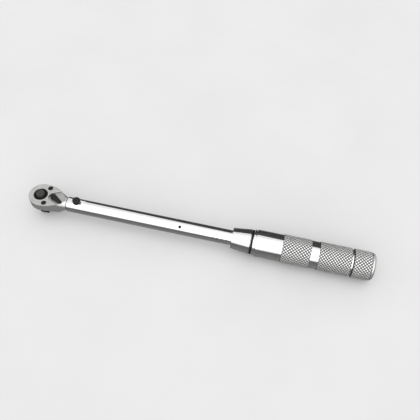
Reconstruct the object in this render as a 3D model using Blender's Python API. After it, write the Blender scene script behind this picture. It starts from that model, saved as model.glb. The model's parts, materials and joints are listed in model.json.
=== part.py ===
"""Click-type micrometer torque wrench with a 3/8 inch square drive.

The long axis of the wrench lies along X, the drive turns about Z through X = 0, and the drive square's
tip stands on Z = 0. Lengths below are millimetres, and heights are measured from the tube's axis; mesh
points are turned into metres, and lifted to the tube's height, when a mesh is made.
"""

import math

import bmesh
import bpy
from mathutils import Vector

METRES_PER_MM = 0.001
AXIS_HEIGHT = 20.0
SEGMENTS = 52
SHARP_DEG = 35.0

# Square drive and ratchet gear
SQUARE_SIDE = 9.53
SQUARE_TIP = -20.0
GEAR_TEETH = 36
GEAR_TIP_RADIUS = 9.3
GEAR_ROOT_RADIUS = 8.4
GEAR_BOTTOM, GEAR_TOP = -4.6, 4.0
HUB_RADIUS = 7.2
HUB_TOP = 7.8
DISH_FLOOR = 6.2
LOWER_HUB_RADIUS = 6.4
LOWER_HUB_BOTTOM = -9.4
BUTTON_RADIUS = 4.6
BUTTON_TOP = 10.9
BALL_RADIUS = 1.6
BALL_HEIGHT = -15.3
BALL_OFFSET = 3.77

# Ratchet head
HEAD_RADIUS = 14.0
HEAD_CENTRE_X = 1.2
HEAD_TOP = 7.0
HEAD_BOTTOM = -8.5
PLATE_TOP = 8.5
NECK_RADIUS = 7.0
NECK_HALF_WIDTH = 6.9
BELLY_TOP = -0.5
BELLY_INSET = 5.3
BELLY_CURVE = 1.35
BELLY_STEPS = 4
NECK_INSET_LIMIT = 0.4
FLANK_START_DEG = 84.0
NECK_END = 29.6
CAVITY_RADIUS = 9.8
CAVITY_FLOOR = -5.2
DRIVE_BORE_RADIUS = 7.45
RING_GROOVE_RADIUS = 8.35
RING_GROOVE_BOTTOM, RING_GROOVE_TOP = -7.95, -7.25
COVER_BORE_RADIUS = 7.5
COVER_SCREW_X, COVER_SCREW_Y = 7.3, 9.9
LEVER_X = 14.3
LEVER_REST_DEG = -27.5
LEVER_LENGTH = 10.8
PAWL_SWING_DEG = 16.0
NOTCH_RADIUS = 5.0
NOTCH_HALF_DEG = 28.0

# Tube and pivot
TUBE_RADIUS = 8.0
TUBE_BORE = 6.6
TUBE_START, TUBE_END = 30.2, 292.0
TUBE_FLAT = 7.5
TUBE_FLAT_END = 50.0
PIVOT_X = 40.6
PIVOT_RADIUS = 3.0
KEY_SCREW_X = 156.2
KEY_SCREW_TILT_DEG = 30.7
TOGGLE_FRONT_X, TOGGLE_REAR_X = 128.8, 136.8
TOGGLE_RADIUS = 2.4

# Spring train and adjuster
SPRING_START, SPRING_END = 166.6, 235.0
SPRING_MEAN_RADIUS, SPRING_WIRE = 4.9, 0.95
SCREW_RADIUS = 4.0
NUT_START, NUT_END = 268.0, 284.0
NUT_PIN_X = 276.0
THRUST_BALL_X, THRUST_BALL_RADIUS = 245.0, 2.5

# Grip
SLEEVE_BORE = 8.35
THIMBLE_START, THIMBLE_END = 212.0, 234.5
SLEEVE_START, SLEEVE_END = 234.7, 337.6
KNURL_RADIUS = 15.0
BAND_RADIUS = 14.3
FIRST_KNURL = (265.0, 294.5)
SECOND_KNURL = (302.8, 336.0)
PLUG_BORE = 12.6
PLUG_PIN_X = 325.0
KNOB_START, KNOB_END = 338.2, 356.6
CAP_END = 359.9


def clear_scene():
    for item in list(bpy.data.objects):
        bpy.data.objects.remove(item, do_unlink=True)


def material(name, colour, metallic, roughness):
    made = bpy.data.materials.new(name)
    made.use_nodes = True
    shader = made.node_tree.nodes["Principled BSDF"]
    shader.inputs["Base Color"].default_value = (*colour, 1.0)
    shader.inputs["Metallic"].default_value = metallic
    shader.inputs["Roughness"].default_value = roughness
    made.diffuse_color = (*colour, 1.0)
    return made


FINISHES = {
    "satin_steel": ((0.62, 0.62, 0.61), 1.0, 0.38),
    "chrome": ((0.82, 0.82, 0.83), 1.0, 0.08),
    "steel": ((0.52, 0.52, 0.53), 1.0, 0.32),
    "black_oxide": ((0.02, 0.02, 0.022), 0.6, 0.4),
    "spring_steel": ((0.35, 0.35, 0.37), 1.0, 0.3),
    "bronze": ((0.55, 0.38, 0.18), 1.0, 0.35),
    "rubber": ((0.02, 0.02, 0.02), 0.0, 0.7),
}


def to_world(point):
    x, y, z = point
    return Vector((x, y, z + AXIS_HEIGHT)) * METRES_PER_MM


def add_object(name, points, faces, finish=None):
    """One closed body, facing out. With no finish it is a cutter, kept out of renders."""
    mesh = bpy.data.meshes.new(name)
    mesh.from_pydata([to_world(point) for point in points], [], faces)
    shape = bmesh.new()
    shape.from_mesh(mesh)
    bmesh.ops.recalc_face_normals(shape, faces=shape.faces)
    shape.to_mesh(mesh)
    shape.free()
    added = bpy.data.objects.new(name, mesh)
    bpy.context.scene.collection.objects.link(added)
    if finish is None:
        added.hide_render = True
        added.display_type = "WIRE"
    else:
        mesh.materials.append(material(name + "_" + finish, *FINISHES[finish]))
        mesh.shade_smooth()
        mesh.set_sharp_from_angle(angle=math.radians(SHARP_DEG))
    return added


def boolean(target, tool, operation):
    modifier = target.modifiers.new(operation.lower() + "_" + tool.name, "BOOLEAN")
    modifier.operation = operation
    modifier.solver = "EXACT"
    modifier.object = tool


def cut(target, *tools):
    for tool in tools:
        boolean(target, tool, "DIFFERENCE")


def join(target, *tools):
    for tool in tools:
        boolean(target, tool, "UNION")


def turned(points, degrees, centre=(0.0, 0.0)):
    """Plan points turned about a point of the plan."""
    c, s = math.cos(math.radians(degrees)), math.sin(math.radians(degrees))
    cx, cy = centre
    return [(cx + c * (x - cx) - s * (y - cy), cy + s * (x - cx) + c * (y - cy)) for x, y in points]


def prism(name, layers, finish=None):
    """A solid through plan outlines of equal length: layers are (height, outline)."""
    count = len(layers[0][1])
    points = [(x, y, height) for height, outline in layers for x, y in outline]
    faces = [list(range(count)), list(range(len(points) - count, len(points)))]
    for layer in range(len(layers) - 1):
        for i in range(count):
            j = (i + 1) % count
            low, high = layer * count, (layer + 1) * count
            faces.append([low + i, low + j, high + j, high + i])
    return add_object(name, points, faces, finish)


def lathe(name, profile, finish=None, axis="X", centre=(0.0, 0.0, 0.0), segments=SEGMENTS, tilt=0.0):
    """A closed profile of (along, radius) turned about X, Y or Z. tilt turns the result about X."""
    tilt_cos, tilt_sin = math.cos(math.radians(tilt)), math.sin(math.radians(tilt))

    def placed(along, radius, turn):
        a, b = radius * math.cos(turn), radius * math.sin(turn)
        x, y, z = {"X": (along, a, b), "Y": (b, along, a), "Z": (a, b, along)}[axis]
        y, z = tilt_cos * y - tilt_sin * z, tilt_sin * y + tilt_cos * z
        return (x + centre[0], y + centre[1], z + centre[2])

    points, rings = [], []
    for along, radius in profile:
        if radius == 0.0:
            rings.append([len(points)])
            points.append(placed(along, 0.0, 0.0))
            continue
        rings.append(list(range(len(points), len(points) + segments)))
        points += [placed(along, radius, 2 * math.pi * k / segments) for k in range(segments)]
    faces = []
    for here, there in zip(rings, rings[1:] + rings[:1]):
        if len(here) == 1 and len(there) == 1:
            continue
        for k in range(segments):
            n = (k + 1) % segments
            corners = [here[k % len(here)], here[n % len(here)], there[n % len(there)], there[k % len(there)]]
            faces.append(list(dict.fromkeys(corners)))
    return add_object(name, points, faces, finish)


def rod(name, start, end, radius, finish=None, axis="X", centre=(0.0, 0.0, 0.0), segments=32, tilt=0.0):
    profile = [(start, 0.0), (start, radius), (end, radius), (end, 0.0)]
    return lathe(name, profile, finish, axis, centre, segments, tilt)


def pipe(name, start, end, inner, outer, finish=None, axis="X", centre=(0.0, 0.0, 0.0), segments=40):
    profile = [(start, inner), (start, outer), (end, outer), (end, inner)]
    return lathe(name, profile, finish, axis, centre, segments)


def torus(name, along, major, minor, finish, axis="X", centre=(0.0, 0.0, 0.0), around=8):
    turns = [2 * math.pi * k / around for k in range(around)]
    profile = [(along + minor * math.sin(t), major + minor * math.cos(t)) for t in turns]
    return lathe(name, profile, finish, axis, centre, 36)


def ball(name, radius, centre, finish, rings=8):
    angles = [math.pi * k / rings for k in range(rings + 1)]
    profile = [(-radius * math.cos(a), 0.0 if k in (0, rings) else radius * math.sin(a))
               for k, a in enumerate(angles)]
    return lathe(name, profile, finish, "Z", centre, 18)


def box(name, low, high, finish=None):
    (x0, y0, z0), (x1, y1, z1) = low, high
    outline = [(x0, y0), (x1, y0), (x1, y1), (x0, y1)]
    return prism(name, [(z0, outline), (z1, outline)], finish)


def coil(name, start, end, radius, wire, turns, finish, place, steps=12, sides=5):
    """A helical wire. place turns (along, across, up) into a position."""
    points = []
    rings = int(turns * steps) + 1
    pitch = (end - start - 2 * wire) / turns
    for k in range(rings):
        turn = 2 * math.pi * k / steps
        along = start + wire + pitch * k / steps
        slope = math.atan2(pitch, 2 * math.pi * radius)
        for side in range(sides):
            a = 2 * math.pi * side / sides
            out, forward = wire * math.cos(a), wire * math.sin(a)
            sideways = -forward * math.sin(slope)
            across = (radius + out) * math.cos(turn) - sideways * math.sin(turn)
            up = (radius + out) * math.sin(turn) + sideways * math.cos(turn)
            points.append(place(along + forward * math.cos(slope), across, up))
    faces = [list(range(sides)), list(range(len(points) - sides, len(points)))]
    for k in range(rings - 1):
        for side in range(sides):
            n = (side + 1) % sides
            faces.append([k * sides + side, k * sides + n, (k + 1) * sides + n, (k + 1) * sides + side])
    return add_object(name, points, faces, finish)


def hinge_empty(name, position, members):
    """An empty on a joint's axis that carries the pieces that move about or along it."""
    carrier = bpy.data.objects.new(name, None)
    carrier.empty_display_size = 0.01
    carrier.location = to_world(position)
    bpy.context.scene.collection.objects.link(carrier)
    for member in members:
        member.parent = carrier
        member.matrix_parent_inverse.translation = -carrier.location
    return carrier


def bezier(a, b, c, d, count):
    points = []
    for k in range(count + 1):
        t = k / count
        weights = ((1 - t) ** 3, 3 * t * (1 - t) ** 2, 3 * t * t * (1 - t), t ** 3)
        points.append(tuple(sum(w * p[i] for w, p in zip(weights, (a, b, c, d))) for i in (0, 1)))
    return points


def flank(inset, count=11):
    """The +Y side of the head's plan, from the round nose to the neck, where a deep inset runs out."""
    start = math.radians(FLANK_START_DEG)
    radius = HEAD_RADIUS - inset
    neck = NECK_HALF_WIDTH - min(inset, NECK_INSET_LIMIT)
    first = (HEAD_CENTRE_X + radius * math.cos(start), radius * math.sin(start))
    return bezier(first, (15.5, 14.3 - inset), (21.0, neck), (NECK_END - 0.4, neck), count)


def nose(inset, count=32):
    radius = HEAD_RADIUS - inset
    sweep = 360.0 - 2 * FLANK_START_DEG
    angles = [math.radians(FLANK_START_DEG + sweep * k / count) for k in range(1, count)]
    return [(HEAD_CENTRE_X + radius * math.cos(a), radius * math.sin(a)) for a in angles]


def head_outline(inset):
    upper = flank(inset)[::-1]
    lower = [(x, -y) for x, y in upper[::-1]]
    return upper + nose(inset) + lower


def plate_outline(inset):
    """The cover's plan: the head's outline with a vee cut out of it round the lever."""
    slope = math.tan(math.radians(NOTCH_HALF_DEG))
    touch = math.radians(90.0 + NOTCH_HALF_DEG)
    start = (LEVER_X + NOTCH_RADIUS * math.cos(touch), NOTCH_RADIUS * math.sin(touch))
    side = [p for p in flank(inset, 22) if p[1] > start[1] + (p[0] - start[0]) * slope + 0.35 - inset]
    tip_x = side[-1][0] + 0.45
    tip = (tip_x, start[1] + (tip_x - start[0]) * slope)
    upper = [tip] + side[::-1]
    lower = [(x, -y) for x, y in upper[::-1]]
    sweep = 360.0 - 2 * (90.0 + NOTCH_HALF_DEG)
    notch = []
    for k in range(13):
        a = math.radians(-(90.0 + NOTCH_HALF_DEG) - sweep * k / 12)
        notch.append((LEVER_X + NOTCH_RADIUS * math.cos(a), NOTCH_RADIUS * math.sin(a)))
    return upper + nose(inset) + lower + notch


def gear_outline(tip, root, widen=0.0, first=0, last=GEAR_TEETH):
    """Ratchet gear plan. widen adds to each side of a tooth, in degrees."""
    pitch = 360.0 / GEAR_TEETH
    points = []
    for tooth in range(first, last):
        centre = (tooth + 0.5) * pitch
        for offset, radius in ((-3.6, root), (-1.1, tip), (1.1, tip), (3.6, root)):
            spread = widen if offset > 0 else -widen
            a = math.radians(centre + offset + spread)
            points.append((radius * math.cos(a), radius * math.sin(a)))
    return points


def circle(radius, centre=(0.0, 0.0), count=48, start=0.0, sweep=360.0):
    step = sweep / count
    ends = count if sweep == 360.0 else count + 1
    angles = [math.radians(start + step * k) for k in range(ends)]
    return [(centre[0] + radius * math.cos(a), centre[1] + radius * math.sin(a)) for a in angles]


def taper_outline(big, small, length, inset=0.0, centre=(0.0, 0.0), degrees=0.0):
    """Two rounds of different size joined by straight sides."""
    lean = math.degrees(math.asin((big - small) / length))
    hub = circle(big - inset, (0.0, 0.0), 14, 90.0 - lean, 180.0 + 2 * lean)
    tip = circle(small - inset, (length, 0.0), 10, -90.0 + lean, 180.0 - 2 * lean)
    moved = [(x + centre[0], y + centre[1]) for x, y in hub + tip]
    return turned(moved, degrees, centre)


def build_tube():
    tube = pipe("tube", TUBE_START, TUBE_END, TUBE_BORE, TUBE_RADIUS, "chrome", segments=SEGMENTS)
    for side in (1, -1):
        near, far = sorted((side * TUBE_FLAT, side * (TUBE_RADIUS + 2.0)))
        flat = box("flat_cutter_%d" % side, (TUBE_START - 1, -9, near), (TUBE_FLAT_END, 9, far))
        cut(tube, flat)
    cut(tube, rod("pivot_hole_cutter", -9.0, 9.0, PIVOT_RADIUS + 0.1, axis="Z", centre=(PIVOT_X, 0, 0)))
    cut(tube, rod("key_hole_cutter", 4.0, 9.5, 1.6, axis="Z", centre=(KEY_SCREW_X, 0, 0),
                  segments=20, tilt=KEY_SCREW_TILT_DEG))
    cut(tube, rod("nut_pin_hole_cutter", -9.0, -5.0, 1.35, axis="Z", centre=(NUT_PIN_X, 0, 0), segments=20))

    pin_head = [(7.62, PIVOT_RADIUS), (7.62, 4.2), (10.4, 4.2), (11.4, 3.3), (11.7, 0.0)]
    lathe("pivot_pin", [(-7.7, 0.0), (-7.7, 2.7), (-7.4, PIVOT_RADIUS)] + pin_head, "black_oxide", "Z",
          (PIVOT_X, 0, 0), 32)

    nut = pipe("adjuster_nut", NUT_START, NUT_END, SCREW_RADIUS + 0.15, TUBE_BORE - 0.15, "bronze")
    cut(nut, rod("nut_socket_cutter", -7.5, -4.9, 1.35, axis="Z", centre=(NUT_PIN_X, 0, 0), segments=20))
    rod("nut_pin", -7.9, -5.1, 1.2, "steel", "Z", (NUT_PIN_X, 0, 0), 20)

    key = lathe("key_screw", [(5.6, 0.0), (5.6, 1.1), (6.0, 1.45), (8.05, 1.45), (8.2, 1.3), (8.2, 0.0)],
                "black_oxide", "Z", (KEY_SCREW_X, 0, 0), 20, KEY_SCREW_TILT_DEG)
    cut(key, lathe("key_socket_cutter", [(7.2, 0.0), (7.2, 0.75), (8.6, 0.75), (8.6, 0.0)], None, "Z",
                   (KEY_SCREW_X, 0, 0), 6, KEY_SCREW_TILT_DEG))

    piston = lathe("thrust_piston", [(137.4, 0.0), (137.4, 5.9), (137.9, 6.35), (165.6, 6.35), (166.0, 6.0),
                                     (166.0, 3.2), (158.0, 3.2), (158.0, 0.0)], "steel", segments=40)
    cut(piston, rod("piston_socket_cutter", -8, 8, TOGGLE_RADIUS + 0.3, axis="Z",
                    centre=(TOGGLE_REAR_X, 0, 0)))
    cut(piston, lathe("piston_key_cutter", [(5.0, 0.0), (5.0, 2.2), (8.0, 2.2), (8.0, 0.0)], None, "Z",
                      (KEY_SCREW_X, 0, 0), 24, KEY_SCREW_TILT_DEG))

    coil("main_spring", SPRING_START, SPRING_END, SPRING_MEAN_RADIUS, SPRING_WIRE, 16, "spring_steel",
         lambda along, across, up: (along, across, up))


def build_toggle():
    link = prism("toggle_link", [(-3.0, circle(TOGGLE_RADIUS, (TOGGLE_FRONT_X, 0), 32)),
                                 (3.0, circle(TOGGLE_RADIUS, (TOGGLE_FRONT_X, 0), 32))], "steel")
    rear = circle(TOGGLE_RADIUS, (TOGGLE_REAR_X, 0), 32)
    join(link, prism("toggle_rear_round", [(-3.0, rear), (3.0, rear)]))
    join(link, box("toggle_web", (TOGGLE_FRONT_X, -1.7, -2.9), (TOGGLE_REAR_X, 1.7, 2.9)))
    hinge_empty("toggle_pivot", (TOGGLE_REAR_X, 0, 0), [link])


def build_head():
    layers = []
    for step in range(BELLY_STEPS + 1):
        depth = 1.0 - step / BELLY_STEPS
        layers.append((BELLY_TOP + depth * (HEAD_BOTTOM - BELLY_TOP), BELLY_INSET * depth ** BELLY_CURVE))
    layers.append((HEAD_TOP, 0.0))
    head = prism("head_body", [(height, head_outline(inset)) for height, inset in layers], "satin_steel")
    envelope = [(-16.0, 0.0), (-16.0, 17.5), (15.0, 17.5), (19.2, 13.2), (21.0, 11.3), (22.6, 9.8),
                (24.6, 8.6), (27.0, 7.65), (NECK_END, NECK_RADIUS), (NECK_END, 0.0)]
    boolean(head, lathe("head_envelope", envelope), "INTERSECT")
    boss = [(28.4, 0.0), (28.4, 6.2), (49.0, 6.2), (52.0, 4.6), (52.0, 0.0)]
    join(head, lathe("pivot_boss", boss, segments=48))

    stations = [(47.0, 3.9, 4.2), (60.0, 3.7, 4.0), (118.0, 3.1, 3.1), (127.6, 3.3, 3.0)]
    bar = []
    for x, half_width, half_height in stations:
        bar.append([(x, -half_width, -half_height), (x, half_width, -half_height),
                    (x, half_width, half_height), (x, -half_width, half_height)])
    points = [point for ring in bar for point in ring]
    faces = [[0, 1, 2, 3], [len(points) - 4 + k for k in range(4)]]
    for ring in range(len(bar) - 1):
        for k in range(4):
            n = (k + 1) % 4
            faces.append([4 * ring + k, 4 * ring + n, 4 * ring + 4 + n, 4 * ring + 4 + k])
    join(head, add_object("tail_bar", points, faces))
    cut(head, rod("tail_socket_cutter", -5, 5, TOGGLE_RADIUS + 0.3, axis="Z", centre=(TOGGLE_FRONT_X, 0, 0)))

    cavity = [(HEAD_BOTTOM - 1, 0.0), (HEAD_BOTTOM - 1, DRIVE_BORE_RADIUS),
              (RING_GROOVE_BOTTOM, DRIVE_BORE_RADIUS), (RING_GROOVE_BOTTOM, RING_GROOVE_RADIUS),
              (RING_GROOVE_TOP, RING_GROOVE_RADIUS), (RING_GROOVE_TOP, DRIVE_BORE_RADIUS),
              (CAVITY_FLOOR, DRIVE_BORE_RADIUS), (CAVITY_FLOOR, CAVITY_RADIUS),
              (HEAD_TOP + 1, CAVITY_RADIUS), (HEAD_TOP + 1, 0.0)]
    cut(head, lathe("drive_cavity_cutter", cavity, axis="Z"))
    half = [(6.0, 7.5), (11.8, 7.5), (15.6, 5.4), (18.2, 2.4)]
    pocket = half + [(x, -y) for x, y in half[::-1]]
    cut(head, prism("pawl_pocket_cutter", [(-4.9, pocket), (4.3, pocket)]))
    cut(head, rod("lever_bore_cutter", -6.0, HEAD_TOP + 1, 2.45, axis="Z", centre=(LEVER_X, 0, 0)))
    for side in (1, -1):
        cut(head, rod("screw_hole_cutter_%d" % side, 0.0, HEAD_TOP + 1, 1.25, axis="Z", segments=20,
                      centre=(COVER_SCREW_X, side * COVER_SCREW_Y, 0)))
    cut(head, rod("bush_hole_cutter", -8, 8, 4.4, axis="Z", centre=(PIVOT_X, 0, 0)))

    bush = pipe("pivot_bush", -4.7, 4.7, PIVOT_RADIUS + 0.1, 4.3, "bronze", "Z", (PIVOT_X, 0, 0), 32)

    levels = [(HEAD_TOP + 0.08, 0.0), (PLATE_TOP - 0.3, 0.0), (PLATE_TOP, 0.3)]
    plate = prism("cover_plate", [(height, plate_outline(inset)) for height, inset in levels], "satin_steel")
    cut(plate, rod("cover_bore_cutter", 6, 10, COVER_BORE_RADIUS, axis="Z", segments=SEGMENTS))
    screws = []
    for side, name in ((1, "cover_screw_far"), (-1, "cover_screw_near")):
        centre = (COVER_SCREW_X, side * COVER_SCREW_Y, 0)
        cut(plate, lathe(name + "_seat_cutter", [(6, 0), (6, 1.35), (7.55, 1.35), (7.55, 2.75), (10, 2.75),
                                                 (10, 0)], None, "Z", centre, 28))
        screw = lathe(name, [(0.8, 0.0), (0.8, 0.9), (1.1, 1.15), (7.65, 1.15), (7.65, 2.6), (8.45, 2.6),
                             (8.62, 2.3), (8.62, 0.0)], "black_oxide", "Z", centre, 28)
        cut(screw, rod(name + "_socket_cutter", 7.7, 9.0, 1.2, axis="Z", centre=centre, segments=6))
        screws.append(screw)

    ring = pipe("drive_retaining_ring", -7.9, -7.35, 6.6, 8.2, "spring_steel", "Z")
    cut(ring, box("ring_gap_cutter", (-10, -2.2, -9), (-5, 2.2, -6)))
    washer = pipe("thrust_washer", -5.05, -4.75, 7.5, 9.3, "bronze", "Z")
    hinge_empty("head_pivot", (PIVOT_X, 0, 0), [head, bush, plate, ring, washer] + screws)


def build_lever():
    centre = (LEVER_X, 0.0)
    heights = [(7.2, 0.25), (7.4, 0.0), (9.2, 0.0), (9.7, 0.45)]
    lever = prism("reversing_lever", [(height, taper_outline(3.3, 1.7, LEVER_LENGTH, inset, centre,
                                                             LEVER_REST_DEG))
                                      for height, inset in heights], "black_oxide")
    join(lever, rod("lever_shaft", -5.8, 8.0, 2.3, axis="Z", centre=(LEVER_X, 0, 0)))

    facing = math.radians(180.0 + LEVER_REST_DEG)
    ahead = Vector((math.cos(facing), math.sin(facing), 0.0))
    across = Vector((-ahead.y, ahead.x, 0.0))

    def beside_shaft(along, sideways, up):
        return tuple(Vector((LEVER_X, 0, -0.3)) + along * ahead + sideways * across + Vector((0, 0, up)))

    def small_round(name, stations, finish=None, count=16):
        points = []
        for along, radius in stations:
            for k in range(count):
                a = 2 * math.pi * k / count
                points.append(beside_shaft(along, radius * math.cos(a), radius * math.sin(a)))
        faces = [list(range(count)), list(range(len(points) - count, len(points)))]
        for ring in range(len(stations) - 1):
            for k in range(count):
                n = (k + 1) % count
                low, high = ring * count, (ring + 1) * count
                faces.append([low + k, low + n, high + n, high + k])
        return add_object(name, points, faces, finish)

    cut(lever, small_round("plunger_bore_cutter", [(-1.75, 1.0), (3.0, 1.0)]))
    plunger = small_round("pawl_plunger", [(0.9, 0.85), (2.4, 0.85), (2.7, 0.65), (2.85, 0.3)], "steel")
    spring = coil("pawl_spring", -1.65, 0.8, 0.62, 0.16, 4, "spring_steel", beside_shaft, 8, 5)
    hinge_empty("lever_pivot", (LEVER_X, 0, 0), [lever, plunger, spring])


def build_pawl():
    centre = (LEVER_X, 0.0)
    front = circle(8.5, (0, 0), 24, -36.0, 72.0)
    upper = [(9.0, 6.4), (11.5, 6.2), (13.6, 4.2)]
    back = circle(3.0, centre, 16, 102.0, 156.0)
    lower = [(x, -y) for x, y in upper[::-1]]
    outline = turned(front + upper + back + lower, PAWL_SWING_DEG / 2, centre)
    pawl = prism("pawl", [(-4.3, outline), (3.6, outline)], "steel")
    for step in range(5):
        swung = PAWL_SWING_DEG * step / 4
        teeth = gear_outline(GEAR_TIP_RADIUS + 0.14, GEAR_ROOT_RADIUS + 0.14, 0.7, -7, 7)
        sector = turned(teeth + [(0.0, 0.0)], swung, centre)
        cut(pawl, prism("pawl_tooth_cutter_%d" % step, [(-6.0, sector), (6.0, sector)]))
    hinge_empty("pawl_pivot", (LEVER_X, 0, 0), [pawl])


def build_drive():
    teeth = gear_outline(GEAR_TIP_RADIUS, GEAR_ROOT_RADIUS)
    gear = prism("drive_gear", [(GEAR_BOTTOM, teeth), (GEAR_TOP, teeth)], "black_oxide")
    hub = [(LOWER_HUB_BOTTOM, 0.0), (LOWER_HUB_BOTTOM, LOWER_HUB_RADIUS - 0.3),
           (LOWER_HUB_BOTTOM + 0.3, LOWER_HUB_RADIUS), (-7.2, LOWER_HUB_RADIUS), (-7.2, HUB_RADIUS),
           (HUB_TOP - 0.3, HUB_RADIUS), (HUB_TOP, HUB_RADIUS - 0.3), (HUB_TOP, HUB_RADIUS - 0.9),
           (DISH_FLOOR, BUTTON_RADIUS + 0.7), (DISH_FLOOR, 0.0)]
    join(gear, lathe("gear_hub", hub, axis="Z", segments=48))
    half = SQUARE_SIDE / 2

    def square(inset):
        corner = 0.9
        side = half - inset
        return [(side, -side + corner), (side, side - corner), (side - corner, side), (-side + corner, side),
                (-side, side - corner), (-side, -side + corner), (-side + corner, -side),
                (side - corner, -side)]

    join(gear, prism("drive_square", [(SQUARE_TIP, square(0.7)), (SQUARE_TIP + 0.9, square(0.0)),
                                      (-9.0, square(0.0))]))
    bore = [(-18.6, 0.0), (-18.6, 2.15), (-7.6, 2.15), (-7.6, 3.0), (-0.6, 3.0), (-0.6, BUTTON_RADIUS + 0.15),
            (10.0, BUTTON_RADIUS + 0.15), (10.0, 0.0)]
    cut(gear, lathe("button_bore_cutter", bore, axis="Z", segments=40))
    cut(gear, rod("ball_hole_cutter", -6.0, 0.0, BALL_RADIUS + 0.08, axis="Y", segments=24,
                  centre=(0, 0, BALL_HEIGHT)))
    hinge_empty("drive_axis", (0, 0, 0), [gear])

    profile = [(1.6, 0.0), (1.6, 3.9), (1.9, BUTTON_RADIUS), (BUTTON_TOP - 0.8, BUTTON_RADIUS),
               (BUTTON_TOP - 0.3, BUTTON_RADIUS - 0.5), (BUTTON_TOP, 2.6), (BUTTON_TOP, 0.0)]
    button = lathe("release_button", profile, "black_oxide", "Z", segments=40)
    pin_profile = [(-16.6, 0.0), (-16.6, 1.6), (-16.3, 1.95), (-14.85, 1.95), (-14.6, 1.3), (-12.4, 1.3),
                   (-11.9, 1.95), (-8.2, 1.95), (-7.9, 1.5), (1.5, 1.5), (1.5, 0.0)]
    pin = lathe("release_pin", pin_profile, "steel", "Z", segments=24)
    spring = coil("button_spring", -7.5, 1.5, 2.35, 0.35, 6, "spring_steel",
                  lambda along, across, up: (across, up, along), 12, 5)
    hinge_empty("button_slide", (0, 0, 0), [button, pin, spring])

    detent = ball("socket_ball", BALL_RADIUS, (0, -BALL_OFFSET, BALL_HEIGHT), "chrome")
    hinge_empty("ball_slide", (0, -BALL_OFFSET, BALL_HEIGHT), [detent])


def build_carriage():
    seat = lathe("spring_seat", [(235.3, 0.0), (235.3, 5.9), (235.7, 6.25), (242.6, 6.25), (243.0, 5.9),
                                 (243.0, 3.0), (241.2, 2.1), (241.2, 0.0)], "steel", segments=40)
    thrust = ball("thrust_ball", THRUST_BALL_RADIUS, (THRUST_BALL_X, 0, 0), "chrome")
    hinge_empty("adjuster_slide", (235.3, 0, 0), [seat, thrust])


def build_grip():
    thimble = [(THIMBLE_START, SLEEVE_BORE), (THIMBLE_START, 10.7), (THIMBLE_START + 0.5, 11.0),
               (231.4, 13.2), (232.0, 12.9), (232.0, 11.5), (THIMBLE_END, 11.5), (THIMBLE_END, SLEEVE_BORE),
               (218.4, SLEEVE_BORE), (218.4, 9.75), (215.9, 9.75), (215.9, SLEEVE_BORE)]
    scale = lathe("scale_thimble", thimble, "chrome")
    o_ring = lathe("thimble_o_ring", [(232.15, 11.6), (232.15, 12.5), (232.6, 12.95), (233.9, 12.95),
                                      (234.35, 12.5), (234.35, 11.6)], "rubber")
    wiper = torus("wiper_o_ring", 217.15, 8.9, 0.72, "rubber")

    outer = [(SLEEVE_START, SLEEVE_BORE), (SLEEVE_START, 13.3), (SLEEVE_START + 0.3, 13.6), (236.6, 13.6),
             (236.8, 13.0), (237.5, 13.0), (237.7, 13.9), (238.1, BAND_RADIUS), (264.6, BAND_RADIUS),
             (FIRST_KNURL[0] + 0.5, KNURL_RADIUS), (FIRST_KNURL[1] - 0.5, KNURL_RADIUS),
             (FIRST_KNURL[1], BAND_RADIUS), (SECOND_KNURL[0], BAND_RADIUS),
             (SECOND_KNURL[0] + 0.5, KNURL_RADIUS), (SECOND_KNURL[1] - 0.5, KNURL_RADIUS),
             (SECOND_KNURL[1], 13.9), (SECOND_KNURL[1], 13.7), (SLEEVE_END, 13.7)]
    inner = [(SLEEVE_END, PLUG_BORE), (335.75, PLUG_BORE), (335.75, 13.0), (334.75, 13.0),
             (334.75, PLUG_BORE), (316.5, PLUG_BORE), (316.5, SLEEVE_BORE)]
    sleeve = lathe("grip_sleeve", outer + inner, "satin_steel")

    thread = [(246.0, 0.0), (246.0, 1.2), (247.4, 2.6), (247.4, 3.6), (247.9, SCREW_RADIUS),
              (331.6, SCREW_RADIUS), (332.0, 3.6), (332.0, 2.2), (262.0, 2.2), (261.0, 0.0)]
    screw = lathe("adjuster_screw", thread, "steel", segments=40)
    cut(screw, ball("thrust_seat_cutter", THRUST_BALL_RADIUS + 0.2, (THRUST_BALL_X, 0, 0), None))
    plug = pipe("end_plug", 317.0, 333.8, SCREW_RADIUS + 0.12, PLUG_BORE - 0.15, "steel", segments=SEGMENTS)
    for target, name in ((screw, "screw_pin_cutter"), (plug, "plug_pin_cutter")):
        cut(target, rod(name, 2.85, 13.0, 1.5, axis="Z", centre=(PLUG_PIN_X, 0, 0), segments=20))
    pin = rod("plug_pin", 3.0, 12.2, 1.38, "steel", "Z", (PLUG_PIN_X, 0, 0), 20)
    snap = pipe("knob_snap_ring", 334.9, 335.6, 11.3, 12.9, "spring_steel")
    cut(snap, box("snap_gap_cutter", (334, -2.5, -14), (337, 2.5, -10)))
    hinge_empty("grip_axis", (300.0, 0, 0), [scale, o_ring, wiper, sleeve, screw, plug, pin, snap])


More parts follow.
